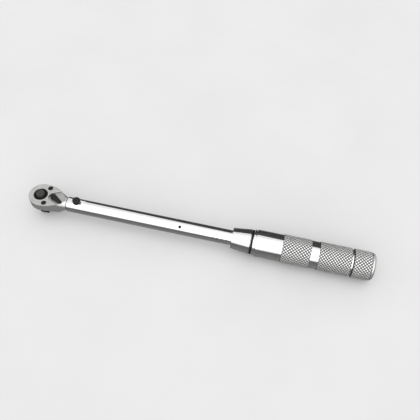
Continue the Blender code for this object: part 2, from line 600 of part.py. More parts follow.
def build_lock():
    knob = [(334.1, 2.35), (334.1, 11.9), (334.65, 11.9), (334.65, 11.1), (335.85, 11.1), (335.85, 12.3),
            (337.9, 12.3), (KNOB_START, 14.4), (KNOB_START + 0.5, KNURL_RADIUS), (KNOB_END - 0.5, KNURL_RADIUS),
            (KNOB_END, 14.5), (KNOB_END, 5.0), (350.0, 5.0), (350.0, 3.0), (343.0, 3.0), (343.0, 2.35)]
    lock_knob = lathe("lock_knob", knob, "satin_steel")
    cap = lathe("knob_end_cap", [(350.4, 0.0), (350.4, 4.5), (350.8, 4.85), (KNOB_END + 0.15, 4.85),
                                 (KNOB_END + 0.15, 14.3), (CAP_END - 1.4, 14.1), (CAP_END - 0.3, 13.2),
                                 (CAP_END, 12.7), (CAP_END, 0.0)], "satin_steel")
    hinge_empty("knob_axis", (345.0, 0, 0), [lock_knob, cap])
    lock_rod = lathe("lock_rod", [(263.0, 0.0), (263.0, 1.5), (263.5, 2.0), (342.4, 2.0), (342.6, 1.8),
                                  (342.6, 0.0)], "steel", segments=24)
    hinge_empty("lock_slide", (300.0, 0, 0), [lock_rod])


def main():
    clear_scene()
    build_tube()
    build_toggle()
    build_head()
    build_lever()
    build_pawl()
    build_drive()
    build_carriage()
    build_grip()
    build_lock()


main()
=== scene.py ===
"""Looks of a click-type torque wrench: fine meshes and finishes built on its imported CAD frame.

Lengths below are millimetres and heights are measured from the tube's axis, until mesh points are turned
into metres of the row frame. Extents of a piece come from the frame's own nodes.
"""

import json
import math

import bmesh
import bpy
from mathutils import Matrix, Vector


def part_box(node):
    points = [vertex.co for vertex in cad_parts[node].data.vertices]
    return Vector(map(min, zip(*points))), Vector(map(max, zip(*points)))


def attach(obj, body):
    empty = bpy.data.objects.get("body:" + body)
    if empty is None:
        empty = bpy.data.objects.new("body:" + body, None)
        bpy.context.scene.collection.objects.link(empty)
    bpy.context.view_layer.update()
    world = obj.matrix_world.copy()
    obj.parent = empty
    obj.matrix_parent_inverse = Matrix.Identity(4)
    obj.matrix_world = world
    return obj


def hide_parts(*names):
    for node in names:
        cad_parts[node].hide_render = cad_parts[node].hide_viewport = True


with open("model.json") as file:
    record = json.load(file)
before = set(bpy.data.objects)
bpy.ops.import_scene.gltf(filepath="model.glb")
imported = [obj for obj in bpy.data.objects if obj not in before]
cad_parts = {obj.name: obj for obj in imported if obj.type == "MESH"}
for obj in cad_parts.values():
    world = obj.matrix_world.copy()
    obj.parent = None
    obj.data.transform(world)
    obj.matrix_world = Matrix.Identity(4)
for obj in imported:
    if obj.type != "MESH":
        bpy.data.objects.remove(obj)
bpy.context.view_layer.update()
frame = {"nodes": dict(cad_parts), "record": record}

MM = 0.001
SEGMENTS = 144
SHARP_DEG = 30.0

# Knurling: rows of small flat-topped diamonds
DIAMONDS_AROUND = 28
KNURL_DEPTH = 0.55
KNURL_FLAT = 0.54
KNURL_CHAMFER = 0.45


# ---------------------------------------------------------------- places read from the frame


def node_centre(node):
    low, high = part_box(node)
    return (low + high) / 2


AXIS_HEIGHT = node_centre("tube").z / MM


def along(node):
    """First and last X of a node."""
    low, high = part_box(node)
    return low.x / MM, high.x / MM


def heights(node):
    """Lowest and highest point of a node, from the tube's axis."""
    low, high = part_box(node)
    return low.z / MM - AXIS_HEIGHT, high.z / MM - AXIS_HEIGHT


def radius_y(node):
    low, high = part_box(node)
    return (high.y - low.y) / 2 / MM


TUBE_START, TUBE_END = along("tube")
TUBE_RADIUS = radius_y("tube")
TUBE_WALL = 1.4
TUBE_BORE = TUBE_RADIUS - TUBE_WALL
TUBE_FLAT = 7.5
TUBE_FLAT_END = 50.0
PIVOT_X = node_centre("pivot_pin").x / MM
PIVOT_RADIUS = 3.0
PIVOT_HEAD = radius_y("pivot_pin")
PIVOT_SEAT = 7.62
KEY_SCREW_X = node_centre("key_screw").x / MM
KEY_SCREW_TILT_DEG = 30.7
KEY_SCREW_RADIUS = 1.45
NUT_PIN_X = node_centre("nut_pin").x / MM
TOGGLE_FRONT_X = 128.8

HEAD_RADIUS = radius_y("head_body")
HEAD_CENTRE_X = along("head_body")[0] + HEAD_RADIUS
HEAD_BOTTOM, HEAD_TOP = heights("head_body")
PLATE_BOTTOM, PLATE_TOP = heights("cover_plate")
NECK_END = 29.6
NECK_RADIUS = 7.0
NECK_HALF_WIDTH = 6.9
NECK_INSET_LIMIT = 0.4
BELLY_TOP = -0.5
BELLY_INSET = 5.3
BELLY_CURVE = 1.35
FLANK_START_DEG = 84.0
CAVITY_RADIUS = 9.8
CAVITY_FLOOR = -5.2
DRIVE_BORE_RADIUS = 7.45
RING_GROOVE_RADIUS = 8.35
RING_GROOVE_BOTTOM, RING_GROOVE_TOP = -7.95, -7.25
COVER_BORE_RADIUS = 7.5
COVER_SCREW_X = node_centre("cover_screw_far").x / MM
COVER_SCREW_Y = node_centre("cover_screw_far").y / MM
COVER_SCREW_RADIUS = radius_y("cover_screw_far")
COVER_SCREW_TOP = heights("cover_screw_far")[1]
COVER_SCREW_SEAT = 7.55
NOTCH_RADIUS = 5.0
NOTCH_HALF_DEG = 28.0

LEVER_X = 14.3
LEVER_REST_DEG = -27.5
LEVER_LENGTH = 10.8
LEVER_HUB, LEVER_TIP = 3.3, 1.7
LEVER_BOTTOM, LEVER_TOP = 7.2, heights("reversing_lever")[1]

GEAR_TEETH = 36
GEAR_TIP_RADIUS, GEAR_ROOT_RADIUS = 9.3, 8.4
GEAR_BOTTOM, GEAR_TOP = -4.6, 4.0
HUB_RADIUS = 7.2
HUB_TOP = heights("drive_gear")[1]
LOWER_HUB_RADIUS, LOWER_HUB_BOTTOM = 6.4, -9.4
DISH_FLOOR = 6.2
BUTTON_RADIUS = radius_y("release_button")
BUTTON_GAP = 0.15
BUTTON_BOTTOM, BUTTON_TOP = heights("release_button")
SQUARE_SIDE = 9.53
SQUARE_CORNER = 0.95
SQUARE_TIP = heights("drive_gear")[0]
BALL_HEIGHT = node_centre("socket_ball").z / MM - AXIS_HEIGHT
BALL_RADIUS = radius_y("socket_ball")

THIMBLE_START, THIMBLE_END = along("scale_thimble")
THIMBLE_RADIUS = radius_y("scale_thimble")
THIMBLE_FRONT_RADIUS = 10.85
SLEEVE_START, SLEEVE_END = along("grip_sleeve")
GRIP_RADIUS = radius_y("grip_sleeve")
SLEEVE_BORE = 8.35
PLUG_BORE = 12.6
BAND_RADIUS = 14.3
FIRST_KNURL = (265.0, 294.5)
SECOND_KNURL = (302.8, 336.0)
KNOB_START = 338.2
KNOB_FRONT, KNOB_END = along("lock_knob")
CAP_START, CAP_END = along("knob_end_cap")


# ---------------------------------------------------------------- materials


def nodes_of(name):
    made = bpy.data.materials.new(name)
    made.use_nodes = True
    tree = made.node_tree
    return made, tree, tree.nodes["Principled BSDF"]


def node(tree, kind, **settings):
    added = tree.nodes.new(kind)
    for key, value in settings.items():
        if key in added.inputs:
            added.inputs[key].default_value = value
        else:
            setattr(added, key, value)
    return added


def noise(tree, vector, scale, detail=4.0, roughness=0.55):
    made = node(tree, "ShaderNodeTexNoise", Scale=scale, Detail=detail, Roughness=roughness)
    tree.links.new(vector, made.inputs["Vector"])
    return made.outputs["Fac"]


def spread(tree, value, low, high, from_low=0.3, from_high=0.7):
    """value, which lies mostly between from_low and from_high, stretched to run from low to high."""
    made = node(tree, "ShaderNodeMapRange")
    for socket, number in zip(("From Min", "From Max", "To Min", "To Max"), (from_low, from_high, low, high)):
        made.inputs[socket].default_value = number
    tree.links.new(value, made.inputs["Value"])
    return made.outputs["Result"]


def stretched(tree, scale):
    """Object coordinates, stretched so that a noise read there runs in fine lines."""
    coordinates = node(tree, "ShaderNodeTexCoord")
    mapping = node(tree, "ShaderNodeMapping", Scale=scale)
    tree.links.new(coordinates.outputs["Object"], mapping.inputs["Vector"])
    return mapping.outputs["Vector"]


def mixed_colour(tree, factor, dark, light):
    ramp = node(tree, "ShaderNodeValToRGB")
    ramp.color_ramp.elements[0].color = (*dark, 1.0)
    ramp.color_ramp.elements[1].color = (*light, 1.0)
    tree.links.new(factor, ramp.inputs["Fac"])
    return ramp.outputs["Color"]


def add_bump(tree, shader, height, strength, distance, after=None):
    bump = node(tree, "ShaderNodeBump", Strength=strength, Distance=distance)
    tree.links.new(height, bump.inputs["Height"])
    if after is not None:
        tree.links.new(after, bump.inputs["Normal"])
    tree.links.new(bump.outputs["Normal"], shader.inputs["Normal"])
    return bump.outputs["Normal"]


def metal(name, dark, light, rough, grain, lines=(1.0, 1.0, 1.0), line_strength=0.0):
    """A metal with cloudy colour and gloss, a fine grain, and tool lines when lines stretches the noise."""
    made, tree, shader = nodes_of(name)
    plain = stretched(tree, (1.0, 1.0, 1.0))
    cloud = spread(tree, noise(tree, plain, 140.0), 0.0, 1.0)
    tree.links.new(mixed_colour(tree, cloud, dark, light), shader.inputs["Base Color"])
    smudge = noise(tree, plain, 420.0, 5.0, 0.65)
    tree.links.new(spread(tree, smudge, *rough), shader.inputs["Roughness"])
    shader.inputs["Metallic"].default_value = 1.0
    normal = add_bump(tree, shader, noise(tree, plain, 9000.0, 2.0), grain, 0.00003)
    if line_strength:
        tool = noise(tree, stretched(tree, lines), 60.0, 3.0, 0.7)
        add_bump(tree, shader, tool, line_strength, 0.00004, normal)
    return made


def knurled_metal(name, dark, light, rough):
    """Plated knurling with painted shade: the colour darkens towards the bottoms of the grooves between the
    diamonds, with a little random tone, and the tips keep the plating's bright colour.
    """
    made, tree, shader = nodes_of(name)
    coordinates = node(tree, "ShaderNodeTexCoord")
    parts = node(tree, "ShaderNodeSeparateXYZ")
    tree.links.new(coordinates.outputs["Object"], parts.inputs["Vector"])
    flat = node(tree, "ShaderNodeCombineXYZ")
    lowered = node(tree, "ShaderNodeMath", operation="SUBTRACT")
    lowered.inputs[1].default_value = AXIS_HEIGHT * MM
    tree.links.new(parts.outputs["Z"], lowered.inputs[0])
    tree.links.new(parts.outputs["Y"], flat.inputs["Y"])
    tree.links.new(lowered.outputs["Value"], flat.inputs["Z"])
    distance = node(tree, "ShaderNodeVectorMath", operation="LENGTH")
    tree.links.new(flat.outputs["Vector"], distance.inputs[0])
    crest, groove = GRIP_RADIUS * MM, KNURL_DEPTH * MM
    # painted shade: the colour is dark at the groove bottoms and light near the crests
    depth = spread(tree, distance.outputs["Value"], 0.0, 1.0, crest - 0.5 * groove, crest - 0.1 * groove)
    wear = noise(tree, coordinates.outputs["Object"], 480.0)
    wear_and_shade = node(tree, "ShaderNodeMath", operation="MULTIPLY_ADD")
    tree.links.new(spread(tree, wear, -0.08, 0.08), wear_and_shade.inputs[0])
    wear_and_shade.inputs[1].default_value = 1.0
    tree.links.new(depth, wear_and_shade.inputs[2])
    tree.links.new(mixed_colour(tree, wear_and_shade.outputs["Value"], dark, light), shader.inputs["Base Color"])
    tree.links.new(spread(tree, wear, *rough), shader.inputs["Roughness"])
    shader.inputs["Metallic"].default_value = 1.0
    add_bump(tree, shader, noise(tree, coordinates.outputs["Object"], 9000.0, 2.0), 0.12, 0.00003)
    return made


def coated(name, dark, light, rough, grain, specular=0.5, wear_and_shade=None):
    """Black oxide, paint or rubber: grainy, with an uneven gloss and, on edges, a little bare metal."""
    made, tree, shader = nodes_of(name)
    plain = stretched(tree, (1.0, 1.0, 1.0))
    cloud = noise(tree, plain, 260.0)
    colour = mixed_colour(tree, spread(tree, cloud, 0.0, 1.0), dark, light)
    if wear_and_shade is not None:
        edges = node(tree, "ShaderNodeNewGeometry").outputs["Pointiness"]
        scuffed = node(tree, "ShaderNodeMath", operation="MULTIPLY")
        tree.links.new(spread(tree, edges, 0.0, 1.0, 0.54, 0.62), scuffed.inputs[0])
        tree.links.new(spread(tree, noise(tree, plain, 900.0), 0.0, 0.6, 0.45, 0.65), scuffed.inputs[1])
        blend = node(tree, "ShaderNodeMix", data_type="RGBA")
        tree.links.new(scuffed.outputs["Value"], blend.inputs[0])
        tree.links.new(colour, blend.inputs[6])
        blend.inputs[7].default_value = (*wear_and_shade, 1.0)
        colour = blend.outputs[2]
    tree.links.new(colour, shader.inputs["Base Color"])
    tree.links.new(spread(tree, noise(tree, plain, 700.0, 5.0), *rough), shader.inputs["Roughness"])
    shader.inputs["Metallic"].default_value = 0.0
    shader.inputs["Specular IOR Level"].default_value = specular
    add_bump(tree, shader, noise(tree, plain, 6000.0, 3.0), grain, 0.00004)
    return made


TURNED = (60.0, 1.0, 1.0)
FINISHES = {
    "satin": metal("satin_plating", (0.68, 0.68, 0.675), (0.80, 0.80, 0.79), (0.40, 0.54), 0.4),
    "milled": metal("milled_satin", (0.36, 0.36, 0.355), (0.44, 0.44, 0.43), (0.34, 0.46), 0.4),
    "cover": metal("satin_cover", (0.45, 0.45, 0.445), (0.55, 0.55, 0.54), (0.28, 0.40), 0.4,
                   (4.0, 90.0, 4.0), 0.12),
    # painted shade: near-black steel for the boss seen in the gap between the neck and the tube
    "oiled": metal("painted_gap_shade", (0.05, 0.05, 0.052), (0.09, 0.088, 0.085), (0.25, 0.45), 0.2),
    "chrome": metal("polished_chrome", (0.78, 0.78, 0.785), (0.86, 0.86, 0.865), (0.035, 0.085), 0.03),
    "thimble": metal("turned_chrome", (0.76, 0.76, 0.765), (0.86, 0.86, 0.865), (0.06, 0.14), 0.05,
                     TURNED, 0.10),
    "steel": metal("machined_steel", (0.42, 0.42, 0.43), (0.58, 0.58, 0.59), (0.24, 0.42), 0.2, TURNED, 0.25),
    "spring": metal("spring_steel", (0.24, 0.24, 0.26), (0.40, 0.40, 0.42), (0.22, 0.40), 0.2),
    "bronze": metal("oiled_bronze", (0.42, 0.27, 0.12), (0.62, 0.43, 0.20), (0.25, 0.45), 0.2, TURNED, 0.2),
    # knurl: plating with painted shade in the grooves between the diamonds
    "knurl": knurled_metal("knurled_plating_groove_shade", (0.13, 0.13, 0.127), (0.97, 0.97, 0.96), (0.50, 0.62)),
    "black": coated("black_oxide", (0.004, 0.004, 0.004), (0.012, 0.0115, 0.011), (0.26, 0.40), 0.3, 0.28,
                    (0.10, 0.10, 0.10)),
    "button": coated("button_oxide", (0.030, 0.027, 0.027), (0.050, 0.046, 0.046), (0.34, 0.50), 0.35, 0.28,
                     (0.16, 0.16, 0.16)),
    "rubber": coated("rubber", (0.006, 0.006, 0.006), (0.014, 0.014, 0.014), (0.50, 0.70), 0.5, 0.2),
    "ink": coated("filled_engraving", (0.010, 0.010, 0.012), (0.030, 0.030, 0.032), (0.45, 0.65), 0.4, 0.2),
}


# ---------------------------------------------------------------- mesh building


def to_world(point):
    x, y, z = point
    return Vector((x, y, z + AXIS_HEIGHT)) * MM


def add_mesh(name, points, faces):
    mesh = bpy.data.meshes.new(name)
    mesh.from_pydata([to_world(point) for point in points], [], faces)
    shape = bmesh.new()
    shape.from_mesh(mesh)
    bmesh.ops.remove_doubles(shape, verts=shape.verts, dist=1e-8)
    bmesh.ops.recalc_face_normals(shape, faces=shape.faces)
    shape.to_mesh(mesh)
    shape.free()
    added = bpy.data.objects.new(name, mesh)
    bpy.context.scene.collection.objects.link(added)
    return added


def smooth(piece):
    piece.data.shade_smooth()
    piece.data.set_sharp_from_angle(angle=math.radians(SHARP_DEG))


def finish(piece, look, body, slot, *stands_for):
    """Gives a piece its material, its body and the CAD nodes that it stands for."""
    smooth(piece)
    piece.data.materials.clear()
    piece.data.materials.append(FINISHES[look])
    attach(piece, body)
    if stands_for:
        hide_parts(*stands_for)
    return piece


def recolour(piece, look, chosen):
    """Gives the faces whose centres are chosen (in millimetres) another finish."""
    piece.data.materials.append(FINISHES[look])
    for face in piece.data.polygons:
        if chosen(face.center / MM):
            face.material_index = len(piece.data.materials) - 1


def weight_normals(piece):
    """Keeps large flat faces flat in the shading where small rounded ones meet them."""
    modifier = piece.modifiers.new("weighted", "WEIGHTED_NORMAL")
    modifier.keep_sharp = True


def combine(target, operation, *tools):
    """Applies booleans to target and removes the tools."""
    for tool in tools:
        modifier = target.modifiers.new("boolean", "BOOLEAN")
        modifier.operation = operation
        modifier.solver = "EXACT"
        modifier.object = tool
    view = bpy.context.evaluated_depsgraph_get()
    result = bpy.data.meshes.new_from_object(target.evaluated_get(view))
    target.modifiers.clear()
    target.data = result
    for tool in tools:
        bpy.data.objects.remove(tool, do_unlink=True)


def cut(target, *tools):
    combine(target, "DIFFERENCE", *tools)


def join(target, *tools):
    combine(target, "UNION", *tools)


def turned(points, degrees, centre=(0.0, 0.0)):
    """Plan points turned about a point of the plan."""
    c, s = math.cos(math.radians(degrees)), math.sin(math.radians(degrees))
    cx, cy = centre
    return [(cx + c * (x - cx) - s * (y - cy), cy + s * (x - cx) + c * (y - cy)) for x, y in points]


def bezier(controls, count):
    points = []
    for k in range(count + 1):
        t = k / count
        weights = ((1 - t) ** 3, 3 * t * (1 - t) ** 2, 3 * t * t * (1 - t), t ** 3)
        points.append(tuple(sum(w * p[i] for w, p in zip(weights, controls)) for i in (0, 1)))
    return points


def rounded(corners, steps=5):
    """A closed profile whose corners (along, radius, rounding) are rounded off by that much."""
    points = []
    count = len(corners)
    for k, corner in enumerate(corners):
        here = Vector(corner[:2])
        size = corner[2] if len(corner) > 2 else 0.0
        before = Vector(corners[k - 1][:2]) - here
        after = Vector(corners[(k + 1) % count][:2]) - here
        reach = min(size, 0.49 * before.length, 0.49 * after.length)
        if reach <= 0.0:
            points.append(tuple(here))
            continue
        first, last = here + before.normalized() * reach, here + after.normalized() * reach
        for step in range(steps + 1):
            t = step / steps
            point = first * (1 - t) ** 2 + here * 2 * t * (1 - t) + last * t * t
            points.append(tuple(point))
    return points


def placed(along_axis, radius, turn, axis="X", centre=(0.0, 0.0, 0.0), tilt=0.0):
    """A point at a radius and turn about an axis through centre, which tilt then turns about X."""
    a, b = radius * math.cos(turn), radius * math.sin(turn)
    x, y, z = {"X": (along_axis, a, b), "Y": (b, along_axis, a), "Z": (a, b, along_axis)}[axis]
    lean = math.radians(tilt)
    y, z = math.cos(lean) * y - math.sin(lean) * z, math.sin(lean) * y + math.cos(lean) * z
    return (x + centre[0], y + centre[1], z + centre[2])


def lathe(name, profile, axis="X", centre=(0.0, 0.0, 0.0), segments=SEGMENTS, tilt=0.0):
    """A closed profile of (along, radius) turned about X, Y or Z. tilt turns the result about X."""
    points, rings, faces = [], [], []
    for place, radius in profile:
        count = 1 if radius < 1e-6 else segments
        rings.append(range(len(points), len(points) + count))
        for k in range(count):
            points.append(placed(place, radius, 2 * math.pi * k / segments, axis, centre, tilt))
    for here, there in zip(rings, rings[1:] + rings[:1]):
        if len(here) == 1 and len(there) == 1:
            continue
        for k in range(segments):
            n = (k + 1) % segments
            corners = [here[k % len(here)], here[n % len(here)], there[n % len(there)], there[k % len(there)]]
            faces.append(list(dict.fromkeys(corners)))
    return add_mesh(name, points, faces)


def rod(name, start, end, radius, axis="X", centre=(0.0, 0.0, 0.0), segments=48, tilt=0.0):
    profile = [(start, 0.0), (start, radius), (end, radius), (end, 0.0)]
    return lathe(name, profile, axis, centre, segments, tilt)


def prism(name, layers):
    """A solid through plan outlines of equal length: layers are (height, outline)."""
    count = len(layers[0][1])
    points = [(x, y, height) for height, outline in layers for x, y in outline]
    faces = [list(range(count)), list(range(len(points) - count, len(points)))]
    for layer in range(len(layers) - 1):
        for i in range(count):
            j = (i + 1) % count
            low, high = layer * count, (layer + 1) * count
            faces.append([low + i, low + j, high + j, high + i])
    return add_mesh(name, points, faces)


def box(name, low, high):
    (x0, y0, z0), (x1, y1, z1) = low, high
    outline = [(x0, y0), (x1, y0), (x1, y1), (x0, y1)]
    return prism(name, [(z0, outline), (z1, outline)])


def circle(radius, centre=(0.0, 0.0), count=48, start=0.0, sweep=360.0):
    ends = count if sweep == 360.0 else count + 1
    angles = [math.radians(start + sweep * k / count) for k in range(ends)]
    return [(centre[0] + radius * math.cos(a), centre[1] + radius * math.sin(a)) for a in angles]


def knurl_grid(points, faces, start, end, rows):
    """Diamonds between two places along X. Returns the lower ring of vertices at each end."""
    crest, root = GRIP_RADIUS, GRIP_RADIUS - KNURL_DEPTH
    step, turn = (end - start) / rows, math.pi / DIAMONDS_AROUND
    columns = 2 * DIAMONDS_AROUND

    def vertex(i, j, radius):
        points.append(placed(start + j * step, radius, i * turn))
        return len(points) - 1

    valleys, crests = {}, {}
    for j in range(rows + 1):
        for i in range(columns):
            if (i + j) % 2:
                valleys[i, j] = vertex(i, j, root)
                continue
            low = vertex(i, j - KNURL_FLAT, crest) if j > 0 else None
            high = vertex(i, j + KNURL_FLAT, crest) if j < rows else None
            left, right = vertex(i - KNURL_FLAT, j, crest), vertex(i + KNURL_FLAT, j, crest)
            crests[i, j] = (left, right, low, high)
    for (i, j), (left, right, low, high) in crests.items():
        west, east = valleys[(i - 1) % columns, j], valleys[(i + 1) % columns, j]
        faces.append([corner for corner in (right, high, left, low) if corner is not None])
        if high is not None:
            north = valleys[i, j + 1]
            faces += [[right, east, north, high], [high, north, west, left]]
        if low is not None:
            south = valleys[i, j - 1]
            faces += [[left, west, south, low], [low, south, east, right]]

    ends = []
    for j, place in ((0, start - KNURL_CHAMFER), (rows, end + KNURL_CHAMFER)):
        ring = []
        for i in range(columns):
            points.append(placed(place, BAND_RADIUS, i * turn))
            ring.append(len(points) - 1)
        for i in range(columns):
            if (i + j) % 2:
                continue
            before, after = (i - 1) % columns, (i + 1) % columns
            left, right = crests[i, j][:2]
            faces += [[ring[before], valleys[before, j], left, ring[i]], [ring[i], left, right],
                      [ring[i], right, valleys[after, j], ring[after]]]
        ends.append(ring)
    return ends


def knurled_lathe(name, parts):
    """A turned body about X. parts are profile points (along, radius) and knurls (start, end, "knurl")."""
    points, faces, rings = [], [], []
    columns = 2 * DIAMONDS_AROUND
    pitch = 2 * math.pi * GRIP_RADIUS / DIAMONDS_AROUND
    joined = []
    for part in parts:
        if part[-1] == "knurl":
            start, end = part[0] + KNURL_CHAMFER, part[1] - KNURL_CHAMFER
            rows = 2 * round((end - start) / pitch)
            rings += knurl_grid(points, faces, start, end, rows)
            joined.append(len(rings) - 1)
            continue
        place, radius = part
        count = 1 if radius < 1e-6 else columns
        rings.append(range(len(points), len(points) + count))
        for k in range(count):
            points.append(placed(place, radius, 2 * math.pi * k / columns))
    for index in range(len(rings)):
        here, there = rings[index - 1], rings[index]
        if index in joined or len(here) == 1 and len(there) == 1:
            continue
        for k in range(columns):
            n = (k + 1) % columns
            corners = [here[k % len(here)], here[n % len(here)], there[n % len(there)], there[k % len(there)]]
            faces.append(list(dict.fromkeys(corners)))
    return add_mesh(name, points, faces)


# ---------------------------------------------------------------- head


def flank(inset, count=48):
    """The +Y side of the head's plan, from the round nose to the neck, where a deep inset runs out."""
    start = math.radians(FLANK_START_DEG)
    radius = HEAD_RADIUS - inset
    neck = NECK_HALF_WIDTH - min(inset, NECK_INSET_LIMIT)
    first = (HEAD_CENTRE_X + radius * math.cos(start), radius * math.sin(start))
    return bezier([first, (15.5, 14.3 - inset), (21.0, neck), (NECK_END - 0.4, neck)], count)


def nose(inset, count=110):
    sweep = 360.0 - 2 * FLANK_START_DEG
    angles = [math.radians(FLANK_START_DEG + sweep * k / count) for k in range(1, count)]
    radius = HEAD_RADIUS - inset
    return [(HEAD_CENTRE_X + radius * math.cos(a), radius * math.sin(a)) for a in angles]


def head_outline(inset):
    upper = flank(inset)[::-1]
    return upper + nose(inset) + [(x, -y) for x, y in upper[::-1]]


def plate_outline(inset, edge=0.0):
    """The cover's plan: the head's outline with a vee cut out. edge widens the vee for its rounded rim."""
    slope = math.tan(math.radians(NOTCH_HALF_DEG))
    touch = math.radians(90.0 + NOTCH_HALF_DEG)
    reach = NOTCH_RADIUS + edge
    start = (LEVER_X + reach * math.cos(touch), reach * math.sin(touch))
    rim = flank(inset, 400)
    side = [p for p in rim if p[1] > start[1] + (p[0] - start[0]) * slope]
    count = 60
    side = [side[round(k * (len(side) - 1) / count)] for k in range(count + 1)]
    upper = side[::-1]
    lower = [(x, -y) for x, y in side]
    sweep = 360.0 - 2 * (90.0 + NOTCH_HALF_DEG)
    notch = circle(reach, (LEVER_X, 0.0), 36, -(90.0 + NOTCH_HALF_DEG), -sweep)
    return upper + nose(inset) + lower + notch


def edge_round(size, steps=4):
    """Steps of a quarter round: (drop below the top, inset)."""
    turns = [math.pi / 2 * k / steps for k in range(steps + 1)]
    return [(size * (1 - math.sin(t)), size * (1 - math.cos(t))) for t in turns]


def tail_bar():
    """The square bar that tapers from the pivot boss to the toggle: (place, half width, half height)."""
    stations = ((47.0, 3.9, 4.2), (60.0, 3.7, 4.0), (118.0, 3.1, 3.1), (127.6, 3.3, 3.0))
    corners = []
    for x, half_width, half_height in stations:
        for across, up in ((-1, -1), (1, -1), (1, 1), (-1, 1)):
            corners.append((x, across * half_width, up * half_height))
    faces = [[0, 1, 2, 3], [len(corners) - 4 + k for k in range(4)]]
    for ring in range(len(stations) - 1):
        for k in range(4):
            n = (k + 1) % 4
            faces.append([4 * ring + k, 4 * ring + n, 4 * ring + 4 + n, 4 * ring + 4 + k])
    return add_mesh("bar", corners, faces)


def head_tools():
    """Cutters for the bores and pockets in the head."""
    half = [(6.0, 7.5), (11.8, 7.5), (15.6, 5.4), (18.2, 2.4)]
    pocket = half + [(x, -y) for x, y in half[::-1]]
    bore, mouth = DRIVE_BORE_RADIUS, DRIVE_BORE_RADIUS + 0.3
    cavity = [(HEAD_BOTTOM - 1, 0.0), (HEAD_BOTTOM - 1, mouth), (HEAD_BOTTOM + 0.1, mouth),
              (HEAD_BOTTOM + 0.4, bore), (RING_GROOVE_BOTTOM, bore), (RING_GROOVE_BOTTOM, RING_GROOVE_RADIUS),
              (RING_GROOVE_TOP, RING_GROOVE_RADIUS), (RING_GROOVE_TOP, bore), (CAVITY_FLOOR, bore),
              (CAVITY_FLOOR, CAVITY_RADIUS), (HEAD_TOP + 1, CAVITY_RADIUS), (HEAD_TOP + 1, 0.0)]
    return [
        rod("tail_socket", -5, 5, 2.7, "Z", (TOGGLE_FRONT_X, 0, 0)),
        lathe("drive_cavity", cavity, "Z", segments=96),
        prism("pawl_pocket", [(-4.9, pocket), (4.3, pocket)]),
        rod("lever_bore", -6.0, HEAD_TOP + 1, 2.45, "Z", (LEVER_X, 0, 0)),
        rod("far_hole", 0.0, HEAD_TOP + 1, 1.25, "Z", (COVER_SCREW_X, COVER_SCREW_Y, 0)),
        rod("near_hole", 0.0, HEAD_TOP + 1, 1.25, "Z", (COVER_SCREW_X, -COVER_SCREW_Y, 0)),
        rod("bush_hole", -8, 8, 4.4, "Z", (PIVOT_X, 0, 0)),
    ]


def make_head():
    layers = []
    steps = 16
    for k in range(steps + 1):
        depth = 1 - k / steps
        layers.append((BELLY_TOP + depth * (HEAD_BOTTOM - BELLY_TOP), BELLY_INSET * depth ** BELLY_CURVE))
    layers += [(HEAD_TOP - drop, inset) for drop, inset in edge_round(0.25)]
    head = prism("head_forging", [(height, head_outline(inset)) for height, inset in layers])
    envelope = [(-16.0, 0.0), (-16.0, 17.5), (15.0, 17.5), (19.2, 13.2)]
    envelope += bezier([(20.6, 11.7), (22.4, 9.7), (25.5, 7.9), (NECK_END - 0.5, NECK_RADIUS + 0.02)], 16)
    envelope += [(NECK_END - 0.25, NECK_RADIUS), (NECK_END, NECK_RADIUS - 0.25), (NECK_END, 0.0)]
    combine(head, "INTERSECT", lathe("envelope", envelope))
    boss = lathe("boss", [(28.4, 0.0), (28.4, 6.2), (49.0, 6.2), (52.0, 4.6), (52.0, 0.0)], segments=64)
    join(head, boss, tail_bar())
    for tool in head_tools():
        cut(head, tool)
    weight_normals(finish(head, "satin", "head", "satin_steel", "head_body"))
    top = HEAD_TOP + AXIS_HEIGHT - 0.002
    recolour(head, "milled", lambda place: place.z > top)
    # painted shade: faces behind the neck (boss and tail bar) are coloured near-black so that the gap at the
    # neck reads dark
    recolour(head, "oiled", lambda place: place.x > NECK_END + 0.05)


def make_cover():
    layers = [(PLATE_BOTTOM + drop, inset) for drop, inset in edge_round(0.12, 2)[::-1]]
    layers += [(PLATE_TOP - drop, inset) for drop, inset in edge_round(0.6, 6)]
    plate = prism("cover_face", [(height, plate_outline(inset, inset)) for height, inset in layers])
    bore = [(6.0, 0.0), (6.0, COVER_BORE_RADIUS), (PLATE_TOP - 0.3, COVER_BORE_RADIUS),
            (PLATE_TOP - 0.12, COVER_BORE_RADIUS + 0.06), (PLATE_TOP, COVER_BORE_RADIUS + 0.25),
            (PLATE_TOP + 0.5, COVER_BORE_RADIUS + 1.2), (PLATE_TOP + 0.5, 0.0)]
    cut(plate, lathe("bore", bore, "Z"))
    for side in (1, -1):
        centre = (COVER_SCREW_X, side * COVER_SCREW_Y, 0)
        seat = [(6, 0), (6, 1.35), (COVER_SCREW_SEAT, 1.35), (COVER_SCREW_SEAT, 2.75),
                (PLATE_TOP - 0.15, 2.75), (PLATE_TOP + 0.1, 3.0), (10, 3.0), (10, 0)]
        cut(plate, lathe("seat", seat, "Z", centre, 64))
    weight_normals(finish(plate, "cover", "head", "satin_steel", "cover_plate"))


def make_cover_screws():
    for side, replaced in ((1, "cover_screw_far"), (-1, "cover_screw_near")):
        centre = (COVER_SCREW_X, side * COVER_SCREW_Y, 0)
        profile = rounded([(0.8, 0.0), (0.8, 1.15, 0.3), (7.65, 1.15), (7.65, COVER_SCREW_RADIUS, 0.1),
                           (COVER_SCREW_TOP, COVER_SCREW_RADIUS, 0.45), (COVER_SCREW_TOP, 0.0)])
        screw = lathe(replaced + "_cap", profile, "Z", centre, 72)
        socket = [(7.2, 0.0), (7.45, 1.2), (8.45, 1.2), (9.0, 1.75), (9.0, 0.0)]
        cut(screw, lathe("socket", socket, "Z", centre, 6))
        weight_normals(finish(screw, "black", "head", "black_oxide", replaced))


